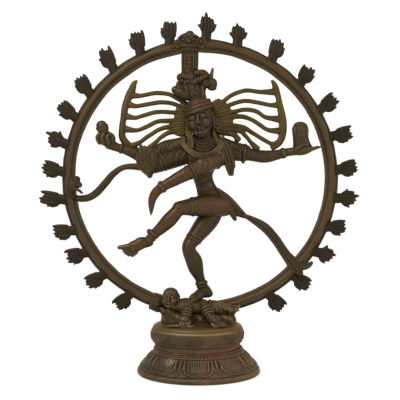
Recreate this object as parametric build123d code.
"""Dancing four-armed figure in a ring of flames, on an oval lotus pedestal: cast brass pieces, brazed and bolted.

Millimetres. +Z is up, the ring stands in the X-Z plane, the front faces -Y, and the origin is the middle of the
pedestal's underside. Left means -X and right means +X, as seen from the front.
"""

import os
from math import atan2, cos, degrees, pi, radians, sin

from build123d import *

# Pedestal: half widths along X at each moulding, and one ratio of depth to width for all of it.
OVAL = 0.83
WALL = 2.8
FOOT_HALF = 51.6
FOOT_RIM_H = 4.6
SKIRT_TOP_HALF = 38.2
COLLAR_HALF = 37.6
FOOT_TOP_Z = 19.6
BEAD_H = 1.6
BEAD_HALF = 37.4
WAIST_HALF = 35.8
DRUM_HALF = 39.3
DRUM_RIM_Z = 36.6
DOME_TOP_Z = 44.0
CEILING_Z = 36.0
FOOT_X = -1.2
DRUM_X = -2.2

# Ring of flames.
RING_Z = 164.5
RING_INNER = 106.6
RING_OUTER = 117.8
RING_BACK_Y = 7.0
RING_DEPTH = 9.0
RING_EDGE = 2.2
FLAME_THICK = 3.6
FLAME_LENGTH = 17.5
FLAME_ROOT = 6.4
FLAME_SPREAD = 14.0
FLAME_Y = 3.0

# Each flame: its place on the ring in degrees clockwise from the top, how far it leans, and its length's share.
RIGHT_FLAMES = (
    (2.5, 1, 1.31), (15.5, -12, 1.04), (31.5, -16, 1.0), (47, -20, 0.88), (60.5, -11, 0.98), (73, 2, 1.05),
    (87, -13, 0.98), (98.5, -9, 1.12), (111.5, -28, 0.85), (123, -21, 1.0), (136.5, -17, 0.86), (149.5, -19, 0.9),
)
LEFT_FLAMES = (
    (-12.5, 11, 1.0), (-25.5, 13, 1.06), (-38.5, 10, 1.1), (-53, 18, 1.05), (-64.5, 14, 1.02), (-76, 9, 1.1),
    (-87.5, 9, 1.0), (-99.5, 15, 1.15), (-113, 18, 0.98), (-123.5, 19, 0.96), (-135.5, 18, 0.95), (-149, 16, 0.86),
)

# Clamp over the ring's joint, beside the dwarf's head: size, and its place in degrees clockwise from the top.
CLAMP = (11.5, 12.0, 15.5)
CLAMP_DEG = 199.0

# Fixings under the pedestal's top plate.
STUD_R = 2.0
STUD_X = 17.0
STUD_BITE = 1.6
WASHER_R = 5.0
WASHER_T = 1.0
NUT_ACROSS = 7.0
NUT_H = 3.2
STUD_CLEAR = 0.25


def oval_section(plane, half_u, half_v, points=8):
    """A closed smooth oval face on a plane, with its seam always on the plane's own x axis."""
    turn = 2 * pi / points
    ring = [(half_u * cos(i * turn), half_v * sin(i * turn)) for i in range(points)]
    return plane * make_face(Spline(*ring, periodic=True))


def limb(stations):
    """A smooth solid through stations of (point, half width across the X-Z plane, half depth along Y)."""
    centres = [Vector(*p) for p, _, _ in stations]
    faces = []
    for i, (_, half_w, half_d) in enumerate(stations):
        before = centres[max(i - 1, 0)]
        after = centres[min(i + 1, len(centres) - 1)]
        along = (after - before).normalized()
        depth = Vector(0, 1, 0) - along * along.Y
        faces.append(oval_section(Plane(centres[i], x_dir=depth, z_dir=along), half_d, half_w))
    return loft(faces)


def ball(point, radius):
    return Pos(*point) * Sphere(radius)


def biggest(shape):
    return max(shape.solids(), key=lambda s: s.volume)


def seated(piece, *neighbours):
    """The piece cut back to the surfaces of the pieces that it is brazed to."""
    for other in neighbours:
        before = piece
        volume = biggest(before).volume
        for nudge in (0, 0.02, -0.03, 0.05):
            piece = biggest((Pos(0, nudge, nudge) * before) - other)
            overlap = piece & other
            if piece.is_valid and piece.volume <= volume and (not overlap or overlap.volume < 0.5):
                break
        else:
            raise ValueError("a piece could not be cut back cleanly")
    return biggest(piece)


def fused(*shapes):
    body = shapes[0]
    for other in shapes[1:]:
        body = body + other
    return biggest(body)


# Pedestal


def oval_stack(levels, middle_x):
    """A ruled solid of level ovals, each (height, half width)."""
    faces = [oval_section(Plane((middle_x, 0, z)), half, half * OVAL, 24) for z, half in levels]
    solids = [loft([low, high], ruled=True) for low, high in zip(faces, faces[1:])]
    return fused(*solids)


def lotus_foot():
    outside = oval_stack(
        [
            (0, FOOT_HALF - 0.6),
            (FOOT_RIM_H * 0.5, FOOT_HALF),
            (FOOT_RIM_H, FOOT_HALF - 0.9),
            (FOOT_RIM_H + 4.5, FOOT_HALF - 4.6),
            (FOOT_RIM_H + 9.5, SKIRT_TOP_HALF + 3.2),
            (FOOT_TOP_Z - 2.8, SKIRT_TOP_HALF),
            (FOOT_TOP_Z, COLLAR_HALF),
        ],
        FOOT_X,
    )
    hollow = oval_stack(
        [
            (-1, FOOT_HALF - WALL - 0.4),
            (FOOT_RIM_H, FOOT_HALF - WALL - 1.0),
            (FOOT_RIM_H + 9.5, SKIRT_TOP_HALF - 0.4),
            (FOOT_TOP_Z + 1, COLLAR_HALF - WALL - 2.4),
        ],
        FOOT_X,
    )
    return outside - hollow


def braze_bead():
    """The copper-coloured line of braze that joins the foot to the drum."""
    middle = (FOOT_X + DRUM_X) / 2
    top = FOOT_TOP_Z + BEAD_H
    low, mid, high = BEAD_HALF - 0.5, BEAD_HALF, BEAD_HALF - 0.5
    outside = oval_stack([(FOOT_TOP_Z, low), (FOOT_TOP_Z + BEAD_H / 2, mid), (top, high)], middle)
    inside = oval_stack([(FOOT_TOP_Z - 1, WAIST_HALF - WALL), (top + 1, WAIST_HALF - WALL)], middle)
    return outside - inside


def pedestal_drum():
    """The hollow drum with its engraved band, under a domed top plate."""
    waist_z = FOOT_TOP_Z + BEAD_H
    rise = DOME_TOP_Z - DRUM_RIM_Z
    outside = oval_stack(
        [
            (waist_z, WAIST_HALF),
            (waist_z + 4.4, WAIST_HALF + 0.6),
            (waist_z + 5.2, DRUM_HALF - 1.4),
            (waist_z + 6.4, DRUM_HALF - 1.1),
            (DRUM_RIM_Z - 4.5, DRUM_HALF),
            (DRUM_RIM_Z - 1.2, DRUM_HALF - 0.4),
            (DRUM_RIM_Z, DRUM_HALF - 1.0),
            (DRUM_RIM_Z + rise * 0.34, DRUM_HALF * 0.90),
            (DRUM_RIM_Z + rise * 0.68, DRUM_HALF * 0.76),
            (DRUM_RIM_Z + rise * 0.90, DRUM_HALF * 0.58),
            (DOME_TOP_Z, DRUM_HALF * 0.36),
        ],
        DRUM_X,
    )
    inside = oval_stack([(waist_z - 1, WAIST_HALF - WALL), (CEILING_Z, WAIST_HALF - WALL)], DRUM_X)
    shell = outside - inside
    for side in (-1, 1):
        shell -= Pos(side * STUD_X, 0, DOME_TOP_Z) * Cylinder(STUD_R + STUD_CLEAR, 30)
    return biggest(shell)


# Fixings


def studs():
    """Two studs, screwed up into the plinth and reaching down through the drum's top plate."""
    low = CEILING_Z - WASHER_T - NUT_H - 2
    high = DOME_TOP_Z + STUD_BITE
    stud = Pos(0, 0, (low + high) / 2) * Cylinder(STUD_R, high - low)
    return Compound([Pos(side * STUD_X, 0, 0) * stud for side in (-1, 1)])


def washers():
    ring = Cylinder(WASHER_R, WASHER_T) - Cylinder(STUD_R + STUD_CLEAR, 2 * WASHER_T)
    return Compound([Pos(side * STUD_X, 0, CEILING_Z - WASHER_T / 2) * ring for side in (-1, 1)])


def nuts():
    top = CEILING_Z - WASHER_T
    blank = extrude(RegularPolygon(NUT_ACROSS / 2, 6, major_radius=False), NUT_H)
    nut = blank - Cylinder(STUD_R, 4 * NUT_H)
    return Compound([Pos(side * STUD_X, 0, top - NUT_H) * nut for side in (-1, 1)])


# Dwarf under the dancer's foot


def dwarf_plinth():
    """The neck between the drum and the ring. It takes the studs, and has a saddle for the bottom of the ring."""
    levels = [(DRUM_RIM_Z + 3, 33.0, 12.0), (DOME_TOP_Z + 2, 31.5, 9.6), (DOME_TOP_Z + 7.5, 31.5, 8.4)]
    faces = [oval_section(Plane((-1, 0, z)), half_x, half_y, 12) for z, half_x, half_y in levels]
    mound = loft(faces)
    for side in (-1, 1):
        mound -= Pos(side * STUD_X, 0, DOME_TOP_Z + STUD_BITE - 10) * Cylinder(STUD_R, 20)
    return biggest(mound)


def dwarf_body():
    torso = limb(
        [
            ((-19, -8, 56.5), 5.0, 5.5),
            ((-12, -7, 55.5), 6.8, 6.8),
            ((0, -6, 54.5), 5.8, 6.2),
            ((11, -6, 54.0), 5.8, 6.0),
            ((20, -6, 53.5), 4.6, 5.2),
            ((28, -5, 53.0), 3.4, 4.0),
        ]
    )
    feet = limb([((26, -5, 53), 3.2, 3.9), ((31, -5, 53.4), 2.6, 3.2), ((35.5, -5, 54.0), 2.0, 2.6)])
    return fused(torso, feet)


def dwarf_head():
    skull = ball((-24.6, -9.5, 63.6), 7.9)
    cap = ball((-22.6, -6.8, 64.4), 8.2)
    jaw = ball((-24.4, -13.0, 60.2), 4.8)
    return fused(skull, cap, jaw)


def dwarf_left_arm():
    return limb(
        [
            ((-9.5, -11, 56.5), 3.8, 3.6),
            ((-10.5, -14.5, 52.5), 4.0, 3.8),
            ((-11.6, -18.5, 48.6), 3.9, 3.6),
            ((-13.0, -21.5, 45.4), 4.2, 3.2),
            ((-14.6, -24.0, 43.0), 2.8, 2.0),
        ]
    )


def dwarf_right_arm():
    return limb(
        [
            ((3.5, -9.5, 57), 4.2, 4.0),
            ((5.5, -13, 53), 4.4, 4.2),
            ((8.0, -16.5, 49.2), 4.2, 4.0),
            ((12.0, -19.5, 45.4), 4.2, 3.4),
            ((17.0, -21.5, 42.6), 3.0, 2.0),
        ]
    )


# Ring and flames


def flame_ring():
    """A hoop of a flat back band with a raised round rib in front."""
    front_y = RING_BACK_Y - RING_DEPTH
    step_y = RING_BACK_Y - RING_DEPTH * 0.35
    rib_in = RING_INNER + 0.4
    rib_out = RING_OUTER - RING_EDGE
    profile = Plane.XY * make_face(
        [
            Polyline(
                (rib_out, step_y),
                (RING_OUTER, step_y),
                (RING_OUTER, RING_BACK_Y),
                (RING_INNER, RING_BACK_Y),
                (rib_in, step_y),
            ),
            ThreePointArc((rib_in, step_y), ((rib_in + rib_out) / 2, front_y), (rib_out, step_y)),
        ]
    )
    return Pos(0, 0, RING_Z) * revolve(profile, Axis.Y, 360)


def ring_clamp(ring):
    """The block cast over the joint in the ring."""
    turn = radians(CLAMP_DEG)
    middle = (RING_INNER + RING_OUTER) / 2 + 0.6
    at = (middle * sin(turn), RING_BACK_Y - RING_DEPTH / 2 - 0.4, RING_Z + middle * cos(turn))
    block = fillet(Box(*CLAMP).edges().filter_by(Axis.Y), 1.5)
    return seated(Pos(*at) * (Rot(0, CLAMP_DEG, 0) * block), ring)


def flame_blade(share):
    """One flat flame, root on the origin and tip along +Z: a stem that opens into five tongues."""
    length = FLAME_LENGTH * share
    root = FLAME_ROOT / 2
    wide = FLAME_SPREAD / 2
    outline = [
        (-root, -2.5),
        (-root * 0.9, 2.5),
        (-wide, length * 0.48),
        (-wide * 0.72, length * 0.62),
        (-wide * 0.8, length * 0.84),
        (-wide * 0.3, length * 0.8),
        (wide * 0.1, length),
        (wide * 0.35, length * 0.78),
        (wide * 0.85, length * 0.8),
        (wide * 0.72, length * 0.58),
        (wide, length * 0.42),
        (root * 0.9, 2.5),
        (root, -2.5),
    ]
    face = Plane.XZ * make_face(Polyline(*outline, close=True))
    return extrude(face, FLAME_THICK / 2, both=True)


def placed_flame(ring, angle, lean, share):
    """A flame standing on the ring at an angle clockwise from the top, turned by its lean."""
    outward = radians(angle)
    foot = (RING_OUTER * sin(outward), FLAME_Y, RING_Z + RING_OUTER * cos(outward))
    flame = Pos(*foot) * (Rot(0, angle + lean, 0) * flame_blade(share))
    return seated(flame, ring)


# Crest, headdress and head


def crest_clasp(ring):
    """The lion-mask clasp that grips the top of the ring."""
    dome = limb([((-9, 1, 272), 9.5, 7.0), ((-8.6, 1, 279), 9.0, 6.6), ((-8, 1.5, 283.6), 5.0, 4.2)])
    cheeks = fused(
        limb([((-21.5, 0.5, 275.0), 3.6, 4.4), ((-9, 0.5, 274.5), 6.0, 7.0), ((3.5, 0.5, 275.5), 4.2, 4.8)]),
        dome,
    )
    jaw = limb([((-8.6, 1, 274), 8.4, 6.0), ((-8.6, 1, 268.0), 7.4, 5.0)])
    return seated(fused(cheeks, jaw), ring)


def crest_column():
    """The plaited feather column between the headdress and the clasp."""
    stations = [((-8.8, 0.5, 254.0), 7.2, 4.4), ((-8.8, 0.5, 261.0), 6.9, 4.2), ((-8.4, 1, 269.5), 6.6, 4.4)]
    return limb(stations)


def headdress():
    topknot = limb(
        [
            ((-0.5, -4, 228), 7.0, 7.0),
            ((-4.0, -3.0, 236), 8.6, 7.4),
            ((-7.0, -1.5, 245), 9.4, 6.4),
            ((-8.4, -0.5, 252), 8.6, 5.6),
            ((-8.7, 0, 256), 7.2, 4.8),
        ]
    )
    left_lobe = limb([((-20.5, -2, 238.5), 3.6, 3.6), ((-14, -3, 238), 6.6, 5.4), ((-6, -3, 238), 6.0, 5.4)])
    upper_lobe = limb([((-18.0, -1.5, 249), 3.4, 3.4), ((-10, -1.5, 248.5), 5.6, 4.4)])
    skull_lobe = limb([((-2, -3, 245.5), 4.2, 4.2), ((7.5, -3.5, 243), 5.6, 4.6), ((12.0, -3.5, 241.5), 3.0, 3.4)])
    horn = limb([((8.5, -3, 246), 1.9, 1.7), ((10.4, -3, 256.0), 0.8, 0.8)])
    return fused(topknot, left_lobe, upper_lobe, skull_lobe, horn)


def head():
    skull = limb(
        [
            ((2.0, -8.5, 197.0), 3.6, 3.4),
            ((1.4, -9.2, 201.5), 7.6, 7.6),
            ((0.3, -8.6, 208), 10.3, 10.4),
            ((-0.8, -7.6, 216), 11.6, 11.6),
            ((-1.8, -6.4, 224), 10.6, 10.8),
            ((-2.4, -5.4, 229.5), 6.6, 7.0),
        ]
    )
    return skull


def neck():
    return limb([((3.6, -4.2, 190), 6.4, 6.0), ((2.6, -5.4, 198.5), 5.2, 5.2)])


def earring():
    return Pos(14.2, -8, 206.5) * (Rot(90, 0, -20) * Cylinder(4.4, 3.0))


# Hair


def hair_fan(crescent, strands, root):
    """Flat locks that spread from behind the head and join in one crescent edge."""
    edge = limb([((x, 2.0, z), w, 1.7) for x, z, w in crescent])
    locks = [limb([((x, 2.0, z), 1.45, 1.4) for x, z in strand]) for strand in strands]
    back = limb([((x, 2.0, z), w, 1.6) for x, z, w in root])
    return fused(edge, back, *locks)


LEFT_CRESCENT = (
    (-53.2, 243.5, 0.9), (-55.4, 237.5, 2.2), (-59.6, 229.0, 2.9), (-62.8, 218.5, 3.0),
    (-64.8, 206.5, 3.0), (-65.2, 197.5, 3.0), (-62.0, 190.4, 3.2),
)
LEFT_STRANDS = (
    ((-13, 227.0), (-20, 231.0), (-27, 234.4), (-38, 235.2), (-50, 233.0), (-56, 233.4)),
    ((-13, 221.0), (-22, 226.0), (-33, 227.4), (-44, 225.8), (-54, 224.2), (-60, 225.6)),
    ((-12, 217.5), (-22, 218.7), (-36, 219.2), (-47, 216.5), (-55, 214.3), (-62, 215.6)),
    ((-12, 212.2), (-26, 211.6), (-36, 211.1), (-45, 206.8), (-54, 203.6), (-63, 204.8)),
    ((-12, 207.4), (-24, 206.9), (-34, 204.6), (-43, 199.2), (-51, 193.6), (-57, 190.4)),
    ((-12, 203.6), (-24, 202.2), (-31, 199.2), (-37, 194.0), (-41.5, 189.6)),
)
LEFT_ROOT = ((-9, 224, 3.0), (-11.5, 216, 4.0), (-12.0, 208, 4.4), (-11, 201.5, 3.2))
RIGHT_CRESCENT = (
    (62.2, 244.5, 1.2), (63.2, 239.0, 2.6), (65.8, 229.5, 3.0), (69.2, 217.0, 3.3),
    (70.2, 206.0, 3.3), (68.8, 196.5, 3.3), (63.4, 189.6, 3.2),
)
RIGHT_STRANDS = (
    ((14, 225.6), (19, 227.6), (27.5, 233.8), (39, 237.4), (51, 236.2), (64, 236.4)),
    ((15, 220.6), (27.5, 226.0), (38, 228.6), (49, 227.2), (60, 225.0), (66, 225.2)),
    ((15, 215.8), (29.5, 219.6), (39, 221.2), (48, 219.6), (55.5, 214.8), (66, 213.0)),
    ((15, 212.4), (32, 215.4), (42.5, 213.2), (50, 208.8), (57.5, 204.0), (67, 203.0)),
    ((15, 208.4), (34, 206.8), (44.5, 201.4), (53.5, 196.0), (61, 192.2), (66, 192.8)),
    ((15, 205.2), (32, 203.6), (38.5, 199.0), (43, 193.6), (48.0, 188.4)),
    ((15, 202.0), (27.5, 200.2), (31.5, 196.6)),
)
RIGHT_ROOT = ((11.0, 226.5, 4.0), (14.0, 220, 5.0), (15.0, 211, 5.0), (14.0, 203.5, 3.0))


# Body


def torso():
    return limb(
        [
            ((10.6, -1.4, 130.6), 6.4, 5.6),
            ((10.8, -1.6, 137.0), 9.8, 7.6),
            ((9.0, -2, 145.0), 10.6, 8.2),
            ((5.4, -3, 153.0), 8.2, 7.0),
            ((3.4, -3.6, 161.0), 7.4, 6.6),
            ((2.0, -4.2, 169.0), 10.8, 7.4),
            ((2.6, -4.2, 177.5), 14.0, 8.2),
            ((3.4, -3.6, 185.5), 15.6, 7.6),
            ((3.6, -3.6, 191.5), 10.4, 6.4),
        ]
    )


def collar_necklace():
    """The broad crescent collar on the chest."""
    arc = [
        ((-13.6, -8.0, 194.0), 1.2, 1.4),
        ((-11.6, -12.0, 187.6), 2.2, 1.8),
        ((-5.4, -14.0, 182.2), 2.6, 2.0),
        ((3.2, -14.6, 180.4), 2.6, 2.0),
        ((11.4, -14.0, 183.0), 2.6, 2.0),
        ((17.0, -11.6, 189.0), 2.2, 1.8),
        ((18.4, -8.0, 195.4), 1.2, 1.4),
    ]
    return limb(arc)


def shoulder_scarf():
    return limb(
        [
            ((17.0, -9.5, 192.5), 2.4, 1.8),
            ((20.5, -11.5, 187.5), 3.6, 2.6),
            ((23.0, -12.5, 181.0), 4.2, 2.6),
            ((24.6, -12.5, 173.0), 4.2, 2.4),
            ((25.8, -12.0, 168.0), 3.0, 2.0),
            ((26.4, -12.0, 164.6), 0.9, 1.2),
        ]
    )


def drum_arm():
    arm = limb(
        [
            ((-8.0, -0.5, 186.5), 8.0, 6.6),
            ((-18.0, 0.5, 185.5), 8.0, 6.6),
            ((-29.0, 1.5, 183.0), 7.2, 6.0),
            ((-40.0, 2.0, 179.8), 6.8, 5.6),
            ((-49.0, 1.5, 181.6), 6.4, 5.2),
            ((-57.5, 0.5, 185.0), 4.8, 4.2),
            ((-66.0, 0, 187.4), 3.8, 3.6),
            ((-70.5, -0.5, 188.8), 3.8, 3.4),
        ]
    )
    hand = limb([((-69.0, -0.5, 188.4), 3.8, 3.4), ((-75.0, -1, 191.6), 5.4, 4.2), ((-79.0, -1, 197.0), 4.6, 4.0)])
    return fused(arm, hand)


def hand_drum():
    """The small hourglass drum held in the rear left hand."""
    return limb(
        [
            ((-74.6, -2.0, 198.4), 3.6, 3.6),
            ((-78.6, -2.4, 199.6), 4.2, 4.2),
            ((-82.0, -2.6, 201.0), 3.0, 3.0),
            ((-85.2, -2.8, 202.6), 4.2, 4.2),
            ((-87.0, -3.0, 203.4), 4.0, 4.0),
        ]
    )


def fire_arm():
    return limb(
        [
            ((13.0, -0.5, 187.0), 7.6, 6.6),
            ((24.0, 0.5, 185.6), 7.6, 6.4),
            ((34.0, 1.0, 184.2), 6.6, 5.6),
            ((42.0, 1.2, 182.8), 5.2, 4.8),
            ((54.5, 1.5, 181.2), 5.3, 4.8),
            ((64.0, 1.0, 182.4), 4.4, 4.2),
            ((71.5, 0, 184.2), 3.6, 3.4),
            ((79.0, -0.5, 185.4), 3.7, 4.6),
            ((87.0, -1, 186.0), 3.3, 5.0),
            ((94.0, -1, 187.2), 2.3, 3.6),
            ((100.5, -1, 188.8), 1.0, 1.4),
        ]
    )


def fire_bowl():
    """The bowl of fire that stands on the rear right palm."""
    return limb(
        [
            ((86.5, -0.5, 186.5), 7.6, 5.0),
            ((85.4, -0.5, 192.0), 7.0, 5.2),
            ((84.8, -0.5, 198.0), 6.2, 5.2),
            ((84.6, -0.5, 203.0), 6.8, 5.4),
            ((84.8, -0.5, 206.4), 5.4, 4.0),
        ]
    )


def blessing_arm():
    upper = limb(
        [
            ((-12.0, -6.0, 180.5), 6.6, 6.0),
            ((-22.0, -8.5, 177.0), 6.8, 6.2),
            ((-32.0, -12.0, 172.0), 6.4, 5.8),
            ((-40.0, -15.0, 168.0), 5.6, 5.4),
        ]
    )
    fore = limb(
        [
            ((-41.0, -15.4, 165.0), 4.6, 4.8),
            ((-42.0, -17.0, 171.0), 5.8, 4.8),
            ((-43.4, -18.8, 178.0), 5.2, 4.0),
            ((-44.6, -20.0, 184.0), 4.8, 2.4),
            ((-46.2, -20.6, 190.0), 2.4, 1.4),
        ]
    )
    return fused(upper, fore)


def swinging_arm():
    """The front arm that crosses the chest and hangs like an elephant's trunk."""
    return limb(
        [
            ((20.0, -7.5, 180.0), 6.6, 6.0),
            ((12.5, -13.0, 176.0), 6.6, 6.2),
            ((3.5, -19.0, 171.6), 6.6, 6.0),
            ((-6.5, -22.5, 166.8), 6.0, 5.4),
            ((-19.0, -24.0, 159.6), 5.2, 4.8),
            ((-30.0, -24.0, 153.2), 3.8, 3.6),
            ((-37.0, -24.0, 147.6), 4.0, 3.4),
            ((-40.4, -23.4, 140.6), 3.6, 2.8),
            ((-39.8, -22.6, 132.4), 0.9, 0.9),
        ]
    )


def raised_leg():
    thigh = limb(
        [
            ((16.0, -5.0, 138.9), 8.0, 7.0),
            ((10.0, -8.0, 138.8), 9.2, 8.0),
            ((0.0, -12.0, 138.4), 8.8, 7.6),
            ((-10.0, -16.0, 138.2), 6.8, 6.4),
            ((-18.0, -18.9, 137.4), 5.2, 5.2),
        ]
    )
    shin = limb(
        [
            ((-15.4, -18.3, 138.0), 5.2, 5.0),
            ((-21.0, -19.6, 132.0), 5.7, 5.4),
            ((-27.6, -20.0, 124.4), 5.6, 5.2),
            ((-33.8, -20.0, 117.6), 4.2, 4.2),
            ((-37.8, -20.0, 113.0), 4.0, 4.0),
        ]
    )
    foot = limb(
        [
            ((-35.6, -19.4, 108.6), 2.6, 3.0),
            ((-39.0, -19.6, 110.0), 4.8, 4.4),
            ((-46.0, -20.4, 108.6), 4.6, 4.4),
            ((-54.0, -21.0, 104.2), 5.6, 4.0),
            ((-61.0, -21.4, 102.2), 4.2, 2.8),
            ((-65.0, -21.6, 102.6), 2.0, 1.6),
        ]
    )
    return fused(thigh, ball((-17.2, -18.6, 136.6), 5.8), shin, foot)


def standing_leg():
    leg = limb(
        [
            ((9.4, -2.0, 134.0), 7.2, 6.2),
            ((5.0, -4.6, 125.4), 8.4, 7.4),
            ((-2.2, -8.8, 114.4), 7.0, 6.6),
            ((-7.8, -11.6, 106.6), 5.8, 5.8),
            ((-6.8, -10.6, 98.4), 6.2, 6.0),
            ((-3.2, -8.2, 89.4), 6.4, 6.0),
            ((0.0, -5.8, 80.4), 4.4, 4.4),
            ((1.6, -4.6, 73.0), 4.4, 4.4),
            ((3.6, -3.6, 67.6), 5.0, 4.6),
        ]
    )
    foot = limb(
        [
            ((8.6, -2.0, 66.4), 3.4, 3.6),
            ((4.0, -3.6, 66.0), 4.6, 4.4),
            ((-2.6, -7.0, 63.8), 4.0, 4.2),
            ((-8.4, -10.6, 60.8), 3.6, 4.2),
            ((-12.4, -13.0, 58.4), 2.0, 3.0),
        ]
    )
    return fused(leg, foot)


# Cloth and serpent, cast in metal


def waist_cloth():
    """The gathered cloth at the right hip, drawn out into the flying sash."""
    drape = limb(
        [
            ((12.0, -5.0, 149.0), 4.6, 4.8),
            ((20.0, -5.0, 144.0), 7.2, 5.6),
            ((28.0, -3.6, 138.4), 6.6, 4.4),
            ((35.0, -1.8, 133.2), 3.6, 3.0),
            ((40.0, -0.4, 129.6), 2.0, 2.0),
        ]
    )
    knot = limb([((27.5, -5.0, 138.0), 3.2, 3.0), ((28.6, -5.4, 131.5), 2.4, 2.2), ((29.0, -5.4, 128.2), 1.4, 1.4)])
    return fused(drape, knot)


def ribbon_sash():
    """The flying end of the waist sash, which reaches the ring at the lower right."""
    band = limb(
        [
            ((38.6, -0.6, 130.6), 1.6, 1.6),
            ((44.5, 0.0, 127.6), 2.8, 1.6),
            ((54.0, 0.6, 121.8), 4.0, 1.6),
            ((62.0, 1.0, 113.6), 4.1, 1.6),
            ((69.6, 1.4, 102.8), 4.1, 1.6),
            ((76.5, 1.8, 92.6), 4.3, 1.7),
            ((81.5, 2.0, 85.5), 4.4, 1.8),
        ]
    )
    return band


def serpent_band():
    """The serpent that leaves the front left elbow and reaches the ring, where its hood rests."""
    body = limb(
        [
            ((-43.0, -9.0, 169.4), 2.8, 2.4),
            ((-52.0, -5.0, 172.0), 3.0, 1.8),
            ((-64.0, -1.6, 172.2), 2.2, 1.6),
            ((-73.0, 0.0, 166.8), 2.8, 1.6),
            ((-79.6, 0.6, 159.4), 3.3, 1.6),
            ((-86.6, 1.0, 151.4), 3.4, 1.6),
            ((-94.0, 1.4, 146.4), 3.2, 1.6),
            ((-102.0, 1.8, 145.6), 3.0, 1.8),
            ((-108.0, 2.0, 147.0), 2.4, 1.8),
        ]
    )
    hood = limb([((-107.5, -1.5, 149.5), 4.6, 2.6), ((-105.4, -2.0, 156.5), 5.6, 2.8), ((-103.4, -2.0, 161.5), 3.2, 2.2)])
    return fused(body, hood)


# Assembly


def make_nodes():
    """Every piece by node name, each cut back to the ones that it is joined to."""
    nodes = {
        "lotus_foot": lotus_foot(),
        "braze_bead": braze_bead(),
        "pedestal_drum": pedestal_drum(),
        "plinth_studs": studs(),
        "stud_washers": washers(),
        "stud_nuts": nuts(),
    }
    ring = flame_ring()
    nodes["flame_ring"] = ring
    nodes["ring_clamp"] = ring_clamp(ring)
    plinth = seated(dwarf_plinth(), nodes["pedestal_drum"], ring, nodes["ring_clamp"])
    nodes["dwarf_plinth"] = plinth
    body = seated(dwarf_body(), plinth, ring)
    nodes["dwarf_body"] = body
    nodes["dwarf_head"] = seated(dwarf_head(), body, ring, plinth, nodes["ring_clamp"])
    leg = seated(standing_leg(), body, nodes["dwarf_head"], ring)
    for name, arm in (("dwarf_left_arm", dwarf_left_arm()), ("dwarf_right_arm", dwarf_right_arm())):
        nodes[name] = seated(arm, body, nodes["dwarf_head"], leg, plinth, nodes["pedestal_drum"])
    nodes["standing_leg"] = leg

    figure = torso()
    nodes["torso"] = seated(figure, leg)
    nodes["neck"] = seated(neck(), figure)
    nodes["head"] = seated(head(), nodes["neck"], figure)
    nodes["raised_leg"] = seated(raised_leg(), figure, leg)
    nodes["drum_arm"] = seated(drum_arm(), figure)
    nodes["fire_arm"] = seated(fire_arm(), figure)
    nodes["hand_drum"] = seated(hand_drum(), nodes["drum_arm"])
    nodes["fire_bowl"] = seated(fire_bowl(), nodes["fire_arm"])
    nodes["blessing_arm"] = seated(blessing_arm(), figure, nodes["drum_arm"])
    nodes["swinging_arm"] = seated(swinging_arm(), figure, nodes["fire_arm"])
    nodes["collar_necklace"] = seated(
        collar_necklace(), figure, *(nodes[n] for n in ("drum_arm", "blessing_arm", "fire_arm", "swinging_arm", "neck"))
    )
    nodes["shoulder_scarf"] = seated(
        shoulder_scarf(), figure, *(nodes[n] for n in ("fire_arm", "swinging_arm", "collar_necklace"))
    )
    nodes["earring"] = seated(earring(), nodes["head"])
    nodes["hair_fan_left"] = seated(
        hair_fan(LEFT_CRESCENT, LEFT_STRANDS, LEFT_ROOT), nodes["head"], nodes["drum_arm"], figure, nodes["neck"]
    )
    nodes["hair_fan_right"] = seated(
        hair_fan(RIGHT_CRESCENT, RIGHT_STRANDS, RIGHT_ROOT),
        nodes["head"], nodes["fire_arm"], figure, nodes["earring"], nodes["neck"],
    )
    nodes["headdress"] = seated(headdress(), nodes["head"], nodes["hair_fan_left"], nodes["hair_fan_right"])
    nodes["crest_column"] = seated(crest_column(), nodes["headdress"], ring)
    nodes["crest_clasp"] = seated(crest_clasp(ring), nodes["crest_column"])
    nodes["waist_cloth"] = seated(waist_cloth(), figure, leg, nodes["raised_leg"])
    nodes["ribbon_sash"] = seated(ribbon_sash(), nodes["waist_cloth"], ring)
    nodes["serpent_band"] = seated(serpent_band(), nodes["blessing_arm"], nodes["drum_arm"], ring)

    for i, station in enumerate(RIGHT_FLAMES + LEFT_FLAMES, start=1):
        flame = placed_flame(ring, *station)
        nodes[f"flame_{i:02d}"] = seated(flame, nodes["crest_clasp"])
    return nodes


def main():
    os.makedirs("parts", exist_ok=True)
    nodes = make_nodes()
    for name, shape in nodes.items():
        export_step(shape, f"parts/{name}.step")
    whole = Compound([s for shape in nodes.values() for s in shape.solids()])
    box = whole.bounding_box()
    print("nodes", len(nodes), "from", box.min, "to", box.max)


main()
